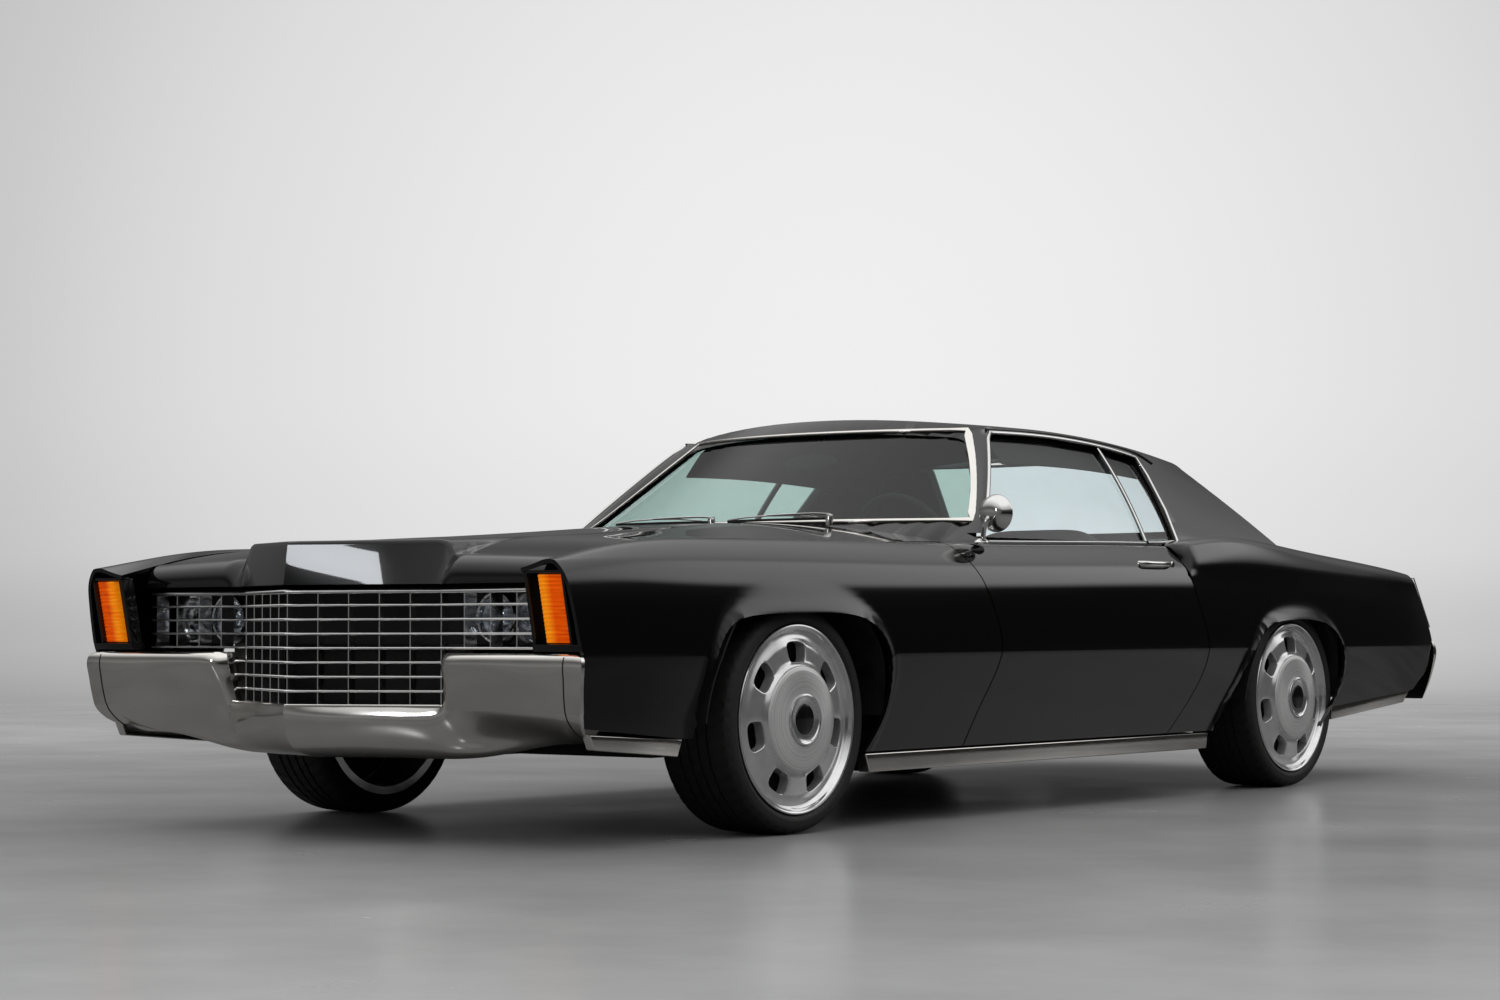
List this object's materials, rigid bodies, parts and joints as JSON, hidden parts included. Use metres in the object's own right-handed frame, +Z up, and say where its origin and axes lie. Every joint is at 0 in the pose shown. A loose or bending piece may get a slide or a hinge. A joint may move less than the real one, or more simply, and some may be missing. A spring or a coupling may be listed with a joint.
{
  "type": "luxury coupe",
  "caption": "Two-door pillarless luxury coupe with a V-nosed chrome grille, hipped rear quarters and opening doors, bonnet and boot lid.",
  "frame": {"origin": "on the ground under the middle of the car's length and width", "axes": "+Z up, the nose points to -Y, the car's left side is +X"},
  "size_m": [2.056, 5.52, 1.3178],
  "materials": {
    "body_paint": "gloss",
    "tinted_glass": "gloss",
    "clear_lamp": "gloss",
    "amber_lamp": "gloss",
    "red_lamp": "gloss",
    "chrome": "polished",
    "tyre": "matt",
    "leather": "satin",
    "dark_plastic": "matt",
    "cast_iron": "matt",
    "aluminium": "satin",
    "chassis_paint": "satin"
  },
  "bodies": {
    "body": {"cowl_panel": "body_paint", "dashboard": "dark_plastic", "engine_block": "cast_iron", "floor_tub": "chassis_paint", "front_bumper": "chrome", "front_frame": "chassis_paint", "front_seats": "leather", "front_wing_left": "body_paint", "front_wing_right": "body_paint", "fuel_tank": "chassis_paint", "grille": "chrome", "headlamp_inner_left": "clear_lamp", "headlamp_inner_right": "clear_lamp", "headlamp_outer_left": "clear_lamp", "headlamp_outer_right": "clear_lamp", "lamp_wall": "dark_plastic", "parcel_shelf": "dark_plastic", "quarter_glass_left": "tinted_glass", "quarter_glass_right": "tinted_glass", "quarter_panel_left": "body_paint", "quarter_panel_right": "body_paint", "radiator": "aluminium", "rear_axle": "chassis_paint", "rear_bumper": "chrome", "rear_deck": "body_paint", "rear_seat": "leather", "rear_window": "tinted_glass", "roof_panel": "body_paint", "sill_trim_left": "chrome", "sill_trim_right": "chrome", "suspension_arms": "chassis_paint", "tail_lamp_left": "red_lamp", "tail_lamp_right": "red_lamp", "tail_panel": "body_paint", "turn_lamp_left": "amber_lamp", "turn_lamp_right": "amber_lamp", "windscreen": "tinted_glass", "wipers": "dark_plastic"},
    "bonnet": {"bonnet": "body_paint"},
    "boot_lid": {"boot_lid": "body_paint"},
    "door_left": {"door_left": "body_paint", "door_glass_left": "tinted_glass", "mirror_left": "chrome"},
    "door_right": {"door_right": "body_paint", "door_glass_right": "tinted_glass"},
    "steering_wheel": {"steering_wheel": "dark_plastic"},
    "upright_left": {"upright_left": "chassis_paint"},
    "upright_right": {"upright_right": "chassis_paint"},
    "wheel_front_left": {"rim_front_left": "chrome", "tyre_front_left": "tyre"},
    "wheel_front_right": {"rim_front_right": "chrome", "tyre_front_right": "tyre"},
    "wheel_rear_left": {"rim_rear_left": "chrome", "tyre_rear_left": "tyre"},
    "wheel_rear_right": {"rim_rear_right": "chrome", "tyre_rear_right": "tyre"}
  },
  "joints": [
    {"name": "bonnet_hinge", "type": "hinge", "parent": "body", "child": "bonnet", "pos_m": [0, -0.947, 0.9405], "axis": [-1, 0, 0], "range_deg": [0, 50]},
    {"name": "boot_hinge", "type": "hinge", "parent": "body", "child": "boot_lid", "pos_m": [0, 1.636, 0.921], "axis": [1, 0, 0], "range_deg": [0, 70]},
    {"name": "door_hinge_left", "type": "hinge", "parent": "body", "child": "door_left", "pos_m": [1.013, -0.76, 0.5], "axis": [0, 0, -1], "range_deg": [0, 62]},
    {"name": "door_hinge_right", "type": "hinge", "parent": "body", "child": "door_right", "pos_m": [-1.013, -0.76, 0.5], "axis": [0, 0, 1], "range_deg": [0, 62]},
    {"name": "steer_left", "type": "hinge", "parent": "body", "child": "upright_left", "pos_m": [0.76, -1.647, 0.3335], "axis": [0, 0, 1], "range_deg": [-30, 30]},
    {"name": "steer_right", "type": "hinge", "parent": "body", "child": "upright_right", "pos_m": [-0.76, -1.647, 0.3335], "axis": [0, 0, 1], "range_deg": [-30, 30]},
    {"name": "steering_wheel_turn", "type": "hinge", "parent": "body", "child": "steering_wheel", "pos_m": [0.38, -0.27, 0.87], "axis": [0, 0.9135, 0.4067], "range_deg": [-450, 450]},
    {"name": "wheel_front_left_spin", "type": "hinge", "parent": "upright_left", "child": "wheel_front_left", "pos_m": [0.835, -1.647, 0.3335], "axis": [1, 0, 0], "continuous": true},
    {"name": "wheel_rear_left_spin", "type": "hinge", "parent": "body", "child": "wheel_rear_left", "pos_m": [0.835, 1.401, 0.3335], "axis": [1, 0, 0], "continuous": true},
    {"name": "wheel_front_right_spin", "type": "hinge", "parent": "upright_right", "child": "wheel_front_right", "pos_m": [-0.835, -1.647, 0.3335], "axis": [1, 0, 0], "continuous": true},
    {"name": "wheel_rear_right_spin", "type": "hinge", "parent": "body", "child": "wheel_rear_right", "pos_m": [-0.835, 1.401, 0.3335], "axis": [1, 0, 0], "continuous": true}
  ],
  "couplings": [
    {"joint": "steer_right", "follows": "steer_left", "ratio": 1},
    {"joint": "steering_wheel_turn", "follows": "steer_left", "ratio": 15}
  ]
}
